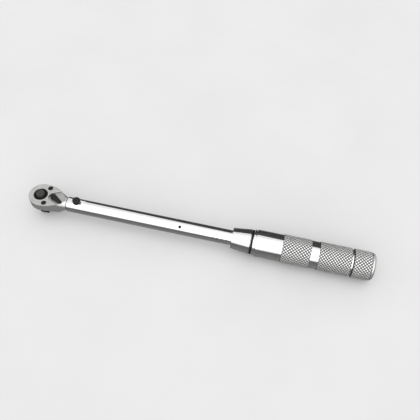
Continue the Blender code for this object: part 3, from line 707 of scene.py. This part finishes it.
def taper_outline(inset=0.0):
    """The lever's plan: two rounds of different size joined by straight sides."""
    lean = math.degrees(math.asin((LEVER_HUB - LEVER_TIP) / LEVER_LENGTH))
    hub = circle(LEVER_HUB - inset, (0.0, 0.0), 44, 90.0 - lean, 180.0 + 2 * lean)
    tip = circle(LEVER_TIP - inset, (LEVER_LENGTH, 0.0), 28, -90.0 + lean, 180.0 - 2 * lean)
    moved = [(x + LEVER_X, y) for x, y in hub + tip]
    return turned(moved, LEVER_REST_DEG, (LEVER_X, 0.0))


def plunger_bore(radius=1.0, height=-0.3, count=24):
    """A cutter for the hole across the lever's shaft, which faces the pawl."""
    facing = math.radians(180.0 + LEVER_REST_DEG)
    ahead = Vector((math.cos(facing), math.sin(facing), 0.0))
    across = Vector((-ahead.y, ahead.x, 0.0))
    points = []
    for reach in (-1.75, 3.0):
        middle = Vector((LEVER_X, 0, height)) + reach * ahead
        points += [tuple(middle + a * across + Vector((0, 0, b))) for a, b in circle(radius, (0, 0), count)]
    faces = [list(range(count)), list(range(count, 2 * count))]
    faces += [[k, (k + 1) % count, count + (k + 1) % count, count + k] for k in range(count)]
    return add_mesh("plunger_bore", points, faces)


def make_lever():
    layers = [(LEVER_BOTTOM + drop, inset) for drop, inset in edge_round(0.2, 3)[::-1]]
    layers += [(LEVER_TOP - drop, inset) for drop, inset in edge_round(0.7, 7)]
    lever = prism("lever_blade", [(height, taper_outline(inset)) for height, inset in layers])
    centre = (LEVER_X, 0, 0)
    join(lever, rod("shaft", -5.8, 8.0, 2.3, "Z", centre))
    ring = [(LEVER_TOP - 0.22, 1.55), (LEVER_TOP - 0.22, 1.85), (LEVER_TOP + 0.2, 2.2),
            (LEVER_TOP + 0.2, 1.35)]
    cut(lever, lathe("rivet_groove", ring, "Z", centre, 64))
    heading = math.radians(LEVER_REST_DEG)
    for k in range(3):
        reach = LEVER_LENGTH - 3.4 + 1.3 * k
        groove = rod("thumb_groove", -4.0, 4.0, 0.42, "Y", (0, 0, 0), 24)
        groove.rotation_euler.z = heading
        place = (LEVER_X + reach * math.cos(heading), reach * math.sin(heading), LEVER_TOP + 0.2)
        groove.location = Vector(place) * MM
        bpy.context.view_layer.update()
        cut(lever, groove)
    cut(lever, plunger_bore())
    weight_normals(finish(lever, "black", "lever", "black_oxide", "reversing_lever"))


# ---------------------------------------------------------------- drive


def gear_outline():
    root, tip = (3.6, GEAR_ROOT_RADIUS), (1.1, GEAR_TIP_RADIUS)
    points = []
    for tooth in range(GEAR_TEETH):
        centre = (tooth + 0.5) * 360.0 / GEAR_TEETH
        for side, (half_angle, radius) in ((-1, root), (-1, tip), (1, tip), (1, root)):
            a = math.radians(centre + side * half_angle)
            points.append((radius * math.cos(a), radius * math.sin(a)))
    return points


def rounded_square(side, corner):
    """A square's plan with rounded corners, the same number of points for every size."""
    points = []
    reach = side / 2 - corner
    for quarter, (sx, sy) in enumerate(((1, 1), (-1, 1), (-1, -1), (1, -1))):
        points += circle(corner, (sx * reach, sy * reach), 8, 90.0 * quarter, 90.0)
    return points


def make_drive():
    teeth = gear_outline()
    gear = prism("drive_anvil", [(GEAR_BOTTOM, teeth), (GEAR_TOP, teeth)])
    hub = rounded([(LOWER_HUB_BOTTOM, 0.0), (LOWER_HUB_BOTTOM, LOWER_HUB_RADIUS, 0.4),
                   (-7.2, LOWER_HUB_RADIUS), (-7.2, HUB_RADIUS, 0.1),
                   (HUB_TOP, HUB_RADIUS, 0.3), (HUB_TOP, HUB_RADIUS - 0.9, 0.2),
                   (DISH_FLOOR, BUTTON_RADIUS + 0.7, 0.2), (DISH_FLOOR, 0.0)])
    join(gear, lathe("hub", hub, "Z", segments=96))
    tip_round = [(SQUARE_TIP + drop, inset) for drop, inset in edge_round(0.7, 5)[::-1]]
    layers = []
    for height, inset in tip_round:
        layers.append((height, rounded_square(SQUARE_SIDE - 2 * inset, SQUARE_CORNER)))
    layers.append((-9.0, rounded_square(SQUARE_SIDE, SQUARE_CORNER)))
    join(gear, prism("square", layers))
    bore = [(-18.6, 0.0), (-18.6, 2.15), (-7.6, 2.15), (-7.6, 3.0), (-0.6, 3.0),
            (-0.6, BUTTON_RADIUS + BUTTON_GAP), (10.0, BUTTON_RADIUS + BUTTON_GAP), (10.0, 0.0)]
    cut(gear, lathe("button_bore", bore, "Z", segments=72))
    mouth = -SQUARE_SIDE / 2
    ball_hole = [(mouth - 1.0, 0.0), (mouth - 1.0, BALL_RADIUS + 0.7), (mouth, BALL_RADIUS + 0.35),
                 (mouth + 0.25, BALL_RADIUS + 0.08), (0.0, BALL_RADIUS + 0.08), (0.0, 0.0)]
    cut(gear, lathe("ball_hole", ball_hole, "Y", (0, 0, BALL_HEIGHT), 48))
    weight_normals(finish(gear, "black", "drive", "black_oxide", "drive_gear"))


def make_ball():
    profile = []
    steps = 32
    for k in range(steps + 1):
        a = math.pi * k / steps
        profile.append((-BALL_RADIUS * math.cos(a), BALL_RADIUS * math.sin(a)))
    centre = (0, node_centre("socket_ball").y / MM, BALL_HEIGHT)
    ball = lathe("detent_ball", profile, "Z", centre, 64)
    finish(ball, "chrome", "detent", "chrome", "socket_ball")


def make_button():
    """A round button with a shallow dish for the thumb."""
    dish, steps = 0.35, 8
    crown = []
    for k in range(steps, -1, -1):
        share = k / steps
        crown.append((BUTTON_TOP - dish * (1 - share ** 2), 2.5 * share))
    side = rounded([(BUTTON_BOTTOM, 0.0), (BUTTON_BOTTOM, BUTTON_RADIUS, 0.3),
                    (BUTTON_TOP, BUTTON_RADIUS, 1.0), (BUTTON_TOP, 3.0)], 8)
    profile = side[:-1] + [(BUTTON_TOP, 2.9), (BUTTON_TOP - 0.02, 2.7)] + crown
    button = lathe("thumb_button", profile, "Z", segments=96)
    finish(button, "button", "release", "black_oxide", "release_button")


def make_retaining_ring():
    """The open ring that keeps the drive in the head, with an eyelet at each end."""
    low, high = heights("drive_retaining_ring")
    inner, outer = 6.6, 8.2
    gap = 17.0
    start = 180.0 + gap
    sweep = 360.0 - 2 * gap
    outline = circle(outer, (0, 0), 90, start, sweep) + circle(inner, (0, 0), 90, start + sweep, -sweep)
    ring = prism("circlip", [(low, outline), (high, outline)])
    for side in (1, -1):
        a = math.radians(180.0 + side * (gap + 6.0))
        middle = (inner + outer) / 2
        place = (middle * math.cos(a), middle * math.sin(a), 0)
        cut(ring, rod("eyelet", low - 1, high + 1, 0.4, "Z", place, 24))
    weight_normals(finish(ring, "spring", "head", "spring_steel", "drive_retaining_ring"))


# ---------------------------------------------------------------- tube


def make_tube():
    edge = 0.3
    profile = rounded([(TUBE_START, TUBE_BORE, edge), (TUBE_START, TUBE_RADIUS, edge),
                       (TUBE_FLAT_END, TUBE_RADIUS), (TUBE_END, TUBE_RADIUS, edge),
                       (TUBE_END, TUBE_BORE, edge)])
    tube = lathe("tube_shell", profile, segments=192)
    for side in (1, -1):
        near, far = sorted((side * TUBE_FLAT, side * (TUBE_RADIUS + 2.0)))
        cut(tube, box("flat", (TUBE_START - 1, -9, near), (TUBE_FLAT_END, 9, far)))
    cut(tube, rod("pivot_hole", -9.0, 9.0, PIVOT_RADIUS + 0.1, "Z", (PIVOT_X, 0, 0), 64))
    key_hole = KEY_SCREW_RADIUS + 0.15
    cut(tube, rod("key_hole", 4.0, 9.5, key_hole, "Z", (KEY_SCREW_X, 0, 0), 40, KEY_SCREW_TILT_DEG))
    cut(tube, rod("nut_pin_hole", -9.0, -5.0, 1.35, "Z", (NUT_PIN_X, 0, 0), 40))
    finish(tube, "chrome", "tube_assembly", "chrome", "tube")
    round_the_tube(tube.data)


def round_the_tube(mesh):
    """True radial normals on the tube's round faces, so that reflections run straight past the holes."""
    centre = AXIS_HEIGHT * MM
    normals = [Vector(corner.vector) for corner in mesh.corner_normals]
    for face in mesh.polygons:
        outward = Vector((0.0, face.center.y, face.center.z - centre))
        facing = face.normal.dot(outward.normalized())
        distances = []
        for index in face.vertices:
            place = mesh.vertices[index].co
            distances.append(math.hypot(place.y, place.z - centre) / MM)
        for radius, side in ((TUBE_RADIUS, 1), (TUBE_BORE, -1)):
            if max(abs(d - radius) for d in distances) > 0.02 or facing * side < 0.7:
                continue
            for corner in face.loop_indices:
                place = mesh.vertices[mesh.loops[corner].vertex_index].co
                normals[corner] = side * Vector((0.0, place.y, place.z - centre)).normalized()
    mesh.normals_split_custom_set(normals)


def make_pivot_pin():
    low, high = heights("pivot_pin")
    rise, fullness, steps = 1.3, 0.6, 10
    profile = rounded([(low, 0.0), (low, PIVOT_RADIUS, 0.35), (PIVOT_SEAT, PIVOT_RADIUS),
                       (PIVOT_SEAT, PIVOT_HEAD, 0.12)])
    for k in range(steps):
        a = math.pi / 2 * k / steps
        profile.append((high - rise * (1 - math.sin(a)), PIVOT_HEAD * math.cos(a) ** fullness))
    profile.append((high, 0.0))
    pin = lathe("pivot_rivet", profile, "Z", (PIVOT_X, 0, 0), 96)
    finish(pin, "black", "tube_assembly", "black_oxide", "pivot_pin")


def make_key_screw():
    profile = rounded([(5.6, 0.0), (5.6, KEY_SCREW_RADIUS, 0.35), (8.2, KEY_SCREW_RADIUS, 0.15),
                       (8.2, 0.0)], 4)
    screw = lathe("key_set_screw", profile, "Z", (KEY_SCREW_X, 0, 0), 48, KEY_SCREW_TILT_DEG)
    socket = [(7.0, 0.0), (7.2, 0.75), (8.1, 0.75), (8.6, 1.1), (8.6, 0.0)]
    cut(screw, lathe("socket", socket, "Z", (KEY_SCREW_X, 0, 0), 6, KEY_SCREW_TILT_DEG))
    weight_normals(finish(screw, "black", "tube_assembly", "black_oxide", "key_screw"))


# ---------------------------------------------------------------- grip


def make_thimble():
    start, end = THIMBLE_START, THIMBLE_END
    groove = end - 2.5
    profile = rounded([(start, SLEEVE_BORE, 0.1), (start, THIMBLE_FRONT_RADIUS, 0.3),
                       (groove - 0.35, THIMBLE_RADIUS, 0.3), (groove, 12.6, 0.1), (groove, 11.5), (end, 11.5),
                       (end, SLEEVE_BORE),
                       (start + 6.4, SLEEVE_BORE), (start + 6.4, 9.75), (start + 3.9, 9.75),
                       (start + 3.9, SLEEVE_BORE)])
    finish(lathe("micrometer_thimble", profile), "thimble", "grip", "chrome", "scale_thimble")
    first, last = along("thimble_o_ring")
    outer = radius_y("thimble_o_ring")
    ring = rounded([(first, 11.6, 0.3), (first, outer, 0.9), (last, outer, 0.9), (last, 11.6, 0.3)], 6)
    finish(lathe("thimble_seal", ring), "rubber", "grip", "rubber", "thimble_o_ring")


def make_sleeve():
    lip = 13.7
    start = SLEEVE_START
    front = rounded([(start, SLEEVE_BORE), (start, 13.6, 0.3), (236.7, 13.6, 0.15), (236.8, 13.0, 0.1),
                     (237.5, 13.0, 0.1), (237.6, BAND_RADIUS, 0.45), (FIRST_KNURL[0], BAND_RADIUS)])
    back = rounded([(SECOND_KNURL[1], lip), (SLEEVE_END, lip, 0.25), (SLEEVE_END, PLUG_BORE),
                    (335.75, PLUG_BORE), (335.75, 13.0), (334.75, 13.0), (334.75, PLUG_BORE),
                    (316.5, PLUG_BORE), (316.5, SLEEVE_BORE)])
    parts = front[:-1] + [(*FIRST_KNURL, "knurl"), (*SECOND_KNURL, "knurl")] + back
    sleeve = knurled_lathe("knurled_sleeve", parts)
    finish(sleeve, "knurl", "grip", "satin_steel", "grip_sleeve")

    def smooth_band(place):
        return not any(start <= place.x <= end for start, end in (FIRST_KNURL, SECOND_KNURL))

    recolour(sleeve, "thimble", smooth_band)


def make_knob():
    front = rounded([(KNOB_FRONT, 2.35), (KNOB_FRONT, 11.9), (334.65, 11.9), (334.65, 11.1), (335.85, 11.1),
                     (335.85, 12.3), (337.9, 12.3), (KNOB_START - 0.1, 14.0, 0.1)])
    back = rounded([(KNOB_END, 13.9, 0.2), (KNOB_END, 5.0), (350.0, 5.0), (350.0, 3.0), (343.0, 3.0),
                    (343.0, 2.35)])
    knurl = (KNOB_START, KNOB_END - 0.1)
    knob = knurled_lathe("knurled_lock_knob", front + [(*knurl, "knurl")] + back)
    finish(knob, "knurl", "knob", "satin_steel", "lock_knob")
    face = KNOB_END + 0.15
    profile = rounded([(CAP_START, 0.0), (CAP_START, 4.85, 0.3), (face, 4.85), (face, BAND_RADIUS, 0.2),
                       (CAP_END - 1.5, 14.15, 0.4), (CAP_END, 12.7, 0.35), (CAP_END, 9.4, 0.05),
                       (CAP_END - 0.18, 9.3, 0.05), (CAP_END - 0.18, 8.9, 0.05), (CAP_END, 8.8, 0.05),
                       (CAP_END, 0.0)])
    finish(lathe("chamfered_end_cap", profile), "satin", "knob", "satin_steel", "knob_end_cap")


# ---------------------------------------------------------------- scales


SCALE_LOW, SCALE_HIGH = 20, 100
SCALE_STEP = 10
LEAD = 2.5
THIMBLE_LINES, LINES_PER_NUMBER = 50, 5
INK_HEIGHT = 0.012


def wrapped(place, degrees, radius):
    """A point on a round surface about X, degrees from straight up towards -Y."""
    a = math.radians(degrees)
    return (place, -radius * math.sin(a), radius * math.cos(a))


def add_strip(points, faces, start, end, turn_start, turn_end, radius_at, steps=10):
    """A thin filled line on a round surface, from one place and turn to another."""
    base = len(points)
    for k in range(steps + 1):
        turn = turn_start + (turn_end - turn_start) * k / steps
        for place in (start, end):
            for lift in (-0.05, INK_HEIGHT):
                points.append(wrapped(place, turn, radius_at(place) + lift))
    for k in range(steps):
        a, b = base + 4 * k, base + 4 * k + 4
        faces += [[a + 1, a + 3, b + 3, b + 1], [a, b, b + 2, a + 2]]
        faces += [[a, a + 1, b + 1, b], [a + 2, b + 2, b + 3, a + 3]]
    last = base + 4 * steps
    faces += [[base, base + 2, base + 3, base + 1], [last, last + 1, last + 3, last + 2]]


def number_mesh(text, size):
    """The flat triangles of a plain number, centred on the origin: points in the plane and faces."""
    curve = bpy.data.curves.new("number", "FONT")
    curve.body = text
    curve.size = size
    curve.align_x = "CENTER"
    curve.align_y = "CENTER"
    curve.resolution_u = 4
    written = bpy.data.objects.new("number", curve)
    bpy.context.scene.collection.objects.link(written)
    view = bpy.context.evaluated_depsgraph_get()
    mesh = bpy.data.meshes.new_from_object(written.evaluated_get(view))
    bpy.data.objects.remove(written, do_unlink=True)
    shape = bmesh.new()
    shape.from_mesh(mesh)
    bmesh.ops.triangulate(shape, faces=shape.faces)
    bmesh.ops.subdivide_edges(shape, edges=shape.edges, cuts=2, use_grid_fill=True)
    bmesh.ops.triangulate(shape, faces=shape.faces)
    shape.verts.index_update()
    places = [(vertex.co.x, vertex.co.y) for vertex in shape.verts]
    faces = [[vertex.index for vertex in face.verts] for face in shape.faces]
    shape.free()
    return places, faces


def add_number(points, faces, text, size, place, degrees, radius_at, upright):
    """A number lying on a round surface. upright numbers read along X, the others round the surface."""
    base = len(points)
    letters, triangles = number_mesh(text, size)
    for u, v in letters:
        across, up = (u, v) if upright else (v, -u)
        here = place + across
        turn = degrees - math.degrees(up / radius_at(place))
        points.append(wrapped(here, turn, radius_at(here) + INK_HEIGHT))
    faces += [[base + index for index in triangle] for triangle in triangles]


def make_scales():
    datum = KEY_SCREW_TILT_DEG
    points, faces = [], []

    def tube_radius(_place):
        return TUBE_RADIUS

    last = THIMBLE_START - LEAD * (SCALE_HIGH - SCALE_LOW) / SCALE_STEP
    add_strip(points, faces, last - 1.2, THIMBLE_START + 4.0, datum - 0.5, datum + 0.5, tube_radius, 2)
    for value in range(SCALE_LOW, SCALE_HIGH + 1, SCALE_STEP // 2):
        place = THIMBLE_START - LEAD * (value - SCALE_LOW) / SCALE_STEP
        reach = 7.0
        if value % SCALE_STEP == 0:
            reach = 13.0
        if value % (2 * SCALE_STEP) == 0:
            reach = 18.0
        add_strip(points, faces, place - 0.08, place + 0.08, datum - 0.4, datum + reach, tube_radius)
        if value % (2 * SCALE_STEP) == 0:
            add_number(points, faces, str(value), 2.1, place, datum + 29.0, tube_radius, True)
    finish(add_mesh("tube_scale", points, faces), "ink", "tube_assembly", "black_oxide")

    points, faces = [], []
    front, back = THIMBLE_START + 0.5, THIMBLE_END - 3.1

    def cone_radius(place):
        share = (place - THIMBLE_START) / (THIMBLE_END - 2.85 - THIMBLE_START)
        return THIMBLE_FRONT_RADIUS + (THIMBLE_RADIUS - THIMBLE_FRONT_RADIUS) * min(max(share, 0.0), 1.0)

    for line in range(THIMBLE_LINES):
        turn = datum + 360.0 * line / THIMBLE_LINES
        numbered = line % LINES_PER_NUMBER == 0
        length = 2.6 if numbered else 1.5
        add_strip(points, faces, front, front + length, turn - 0.35, turn + 0.35, cone_radius, 1)
        if numbered:
            text = str(line // LINES_PER_NUMBER)
            add_number(points, faces, text, 2.2, front + 4.3, turn, cone_radius, False)
    add_strip(points, faces, back - 0.35, back - 0.2, 0.0, 360.0, cone_radius, 144)
    finish(add_mesh("thimble_scale", points, faces), "ink", "grip", "black_oxide")


# ---------------------------------------------------------------- inner pieces, studio and camera


# Brightness of the light behind and in front of the wrench, and of the ground below and at the horizon
TENT_BEHIND, TENT_FRONT = 0.95, 1.6
GROUND, GROUND_EDGE = 0.22, 0.13
CARD_DISTANCE = 100.0
FLOOR_GAP = 0.12


def dress_inner_nodes():
    """Finishes for the carried-over pieces inside the wrench, by their record slots."""
    looks = {"satin_steel": "satin", "chrome": "chrome", "black_oxide": "black", "machined_steel": "steel",
             "spring_steel": "spring", "bronze": "bronze", "rubber": "rubber"}
    for subpart in frame["record"]["subparts"]:
        item = frame["nodes"][subpart["node"]]
        item.data.materials.clear()
        item.data.materials.append(FINISHES[looks[subpart["material_slot"]]])


def studio_material(name, dark, light, cloud_scale, gloss_scale, rough):
    """A matte grey between dark and light, with uneven tone and gloss."""
    made, tree, shader = nodes_of(name)
    plain = stretched(tree, (1.0, 1.0, 1.0))
    cloud = spread(tree, noise(tree, plain, cloud_scale), 0.0, 1.0)
    tone = mixed_colour(tree, cloud, (dark, dark, dark), (light, light, light))
    tree.links.new(tone, shader.inputs["Base Color"])
    tree.links.new(spread(tree, noise(tree, plain, gloss_scale), *rough), shader.inputs["Roughness"])
    return made


def make_floor():
    """A pale floor, tipped so slightly that it touches both the drive's tip and the knob's end."""
    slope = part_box("lock_knob")[0].z / (KNOB_END * MM)
    reach = 3.0
    shape = bmesh.new()
    bmesh.ops.create_grid(shape, x_segments=24, y_segments=24, size=reach)
    for vertex in shape.verts:
        vertex.co.z = slope * vertex.co.x - FLOOR_GAP * MM
    mesh = bpy.data.meshes.new("studio_floor")
    shape.to_mesh(mesh)
    shape.free()
    floor = bpy.data.objects.new("studio_floor", mesh)
    bpy.context.scene.collection.objects.link(floor)
    mesh.materials.append(studio_material("pale_floor", 0.65, 0.68, 8.0, 30.0, (0.75, 0.9)))
    floor.visible_glossy = False


def make_light():
    """An even bright tent, brightest overhead and in front, with dark ground all round below it."""
    world = bpy.data.worlds.new("studio")
    bpy.context.scene.world = world
    world.use_nodes = True
    tree = world.node_tree
    background = tree.nodes["Background"]
    direction = node(tree, "ShaderNodeTexCoord").outputs["Generated"]
    facing = node(tree, "ShaderNodeVectorMath", operation="DOT_PRODUCT")
    facing.inputs[1].default_value = (0.0, -0.6, 0.8)
    tree.links.new(direction, facing.inputs[0])
    parts = node(tree, "ShaderNodeSeparateXYZ")
    tree.links.new(direction, parts.inputs["Vector"])
    glow = spread(tree, facing.outputs["Value"], TENT_BEHIND, TENT_FRONT, 0.40, 0.85)
    ground = spread(tree, parts.outputs["Z"], GROUND, GROUND_EDGE, -0.9, -0.05)
    inside = spread(tree, parts.outputs["Z"], 0.0, 1.0, -0.04, 0.22)
    blend = node(tree, "ShaderNodeMix", data_type="FLOAT")
    tree.links.new(inside, blend.inputs[0])
    tree.links.new(ground, blend.inputs[2])
    tree.links.new(glow, blend.inputs[3])
    tree.links.new(blend.outputs[0], background.inputs["Color"])
    background.inputs["Strength"].default_value = 1.0


def make_dark_card():
    """A card standing behind the wrench, lower at the head, that only its polished surfaces reflect."""
    start, end = -30.0, 380.0
    start_height, end_height = 70.0, 190.0
    mesh = bpy.data.meshes.new("dark_card")
    columns, rows = 16, 8
    points, faces = [], []
    for column in range(columns + 1):
        share = column / columns
        x = start + share * (end - start)
        top = start_height + share * (end_height - start_height)
        points += [Vector((x, CARD_DISTANCE, top * row / rows)) * MM for row in range(rows + 1)]
    for column in range(columns):
        for row in range(rows):
            low, high = column * (rows + 1) + row, (column + 1) * (rows + 1) + row
            faces.append([low, high, high + 1, low + 1])
    mesh.from_pydata(points, [], faces)
    card = bpy.data.objects.new("dark_card", mesh)
    bpy.context.scene.collection.objects.link(card)
    mesh.materials.append(studio_material("card_felt", 0.02, 0.05, 40.0, 200.0, (0.8, 0.95)))
    card.visible_camera = False
    card.visible_diffuse = False
    card.visible_shadow = False


def make_camera():
    lens = bpy.data.cameras.new("camera")
    lens.lens = 45.5
    lens.sensor_width = 36.0
    lens.clip_start, lens.clip_end = 0.01, 20.0
    camera = bpy.data.objects.new("camera", lens)
    camera.location = (0.2397, -0.2934, 0.4981)
    camera.rotation_euler = [math.radians(angle) for angle in (34.4, -1.7, 12.7)]
    bpy.context.scene.collection.objects.link(camera)
    bpy.context.scene.camera = camera


def main():
    dress_inner_nodes()
    make_head()
    make_cover()
    make_cover_screws()
    make_lever()
    make_drive()
    make_ball()
    make_button()
    make_retaining_ring()
    make_tube()
    make_pivot_pin()
    make_key_screw()
    make_thimble()
    make_sleeve()
    make_knob()
    make_scales()
    make_floor()
    make_light()
    make_dark_card()
    make_camera()
    bpy.context.scene.view_settings.view_transform = "Standard"


main()
bpy.context.view_layer.update()
